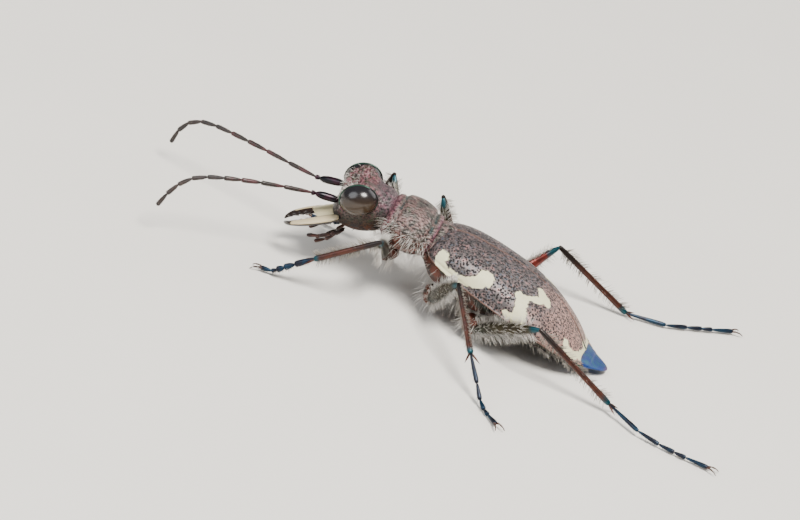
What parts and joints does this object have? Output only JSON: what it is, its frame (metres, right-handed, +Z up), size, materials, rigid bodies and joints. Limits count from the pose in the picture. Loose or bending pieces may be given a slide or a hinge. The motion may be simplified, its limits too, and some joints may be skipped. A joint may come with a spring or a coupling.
{
  "type": "tiger beetle model",
  "caption": "Life-size still model of a tiger beetle standing low on its legs, head lowered with sickle jaws, long feelers and cream-marked wing cases",
  "frame": {"origin": "middle of the footprint, on the floor the feet stand on", "axes": "+X from head to tail, -Y the beetle's left side, +Z up"},
  "size_m": [0.0296, 0.0186, 0.0049],
  "materials": {
    "shell": "copper and purple metallic cuticle, finely wrinkled",
    "elytron": "dark bronze, pitted, with cream markings",
    "flank": "red copper cuticle with white hairs",
    "belly": "blue metallic cuticle",
    "eye": "glossy dark grey brown",
    "labrum": "ivory",
    "mandible": "near black with an ivory root",
    "thigh": "dark metallic green",
    "shin": "red brown",
    "foot": "teal metallic",
    "feeler": "brown, dull toward the tip"
  },
  "bodies": {
    "root": {"abdomen": "belly", "coxa_front_left": "flank", "coxa_front_right": "flank", "coxa_hind_left": "flank", "coxa_hind_right": "flank", "coxa_middle_left": "flank", "coxa_middle_right": "flank", "elytron_left": "elytron", "elytron_right": "elytron", "eye_left": "eye", "eye_right": "eye", "femur_front_left": "thigh", "femur_front_right": "thigh", "femur_hind_left": "thigh", "femur_hind_right": "thigh", "femur_middle_left": "thigh", "femur_middle_right": "thigh", "flagellum_inner_left": "feeler", "flagellum_inner_right": "feeler", "flagellum_outer_left": "feeler", "flagellum_outer_right": "feeler", "head": "shell", "labial_palp_left": "shin", "labial_palp_right": "shin", "labrum": "labrum", "mandible_left": "mandible", "mandible_right": "mandible", "maxillary_palp_left": "shin", "maxillary_palp_right": "shin", "prothorax": "shell", "scape_left": "feeler", "scape_right": "feeler", "tarsus_front_left": "foot", "tarsus_front_right": "foot", "tarsus_hind_left": "foot", "tarsus_hind_right": "foot", "tarsus_middle_left": "foot", "tarsus_middle_right": "foot", "thorax": "flank", "tibia_front_left": "shin", "tibia_front_right": "shin", "tibia_hind_left": "shin", "tibia_hind_right": "shin", "tibia_middle_left": "shin", "tibia_middle_right": "shin"}
  },
  "joints": []
}
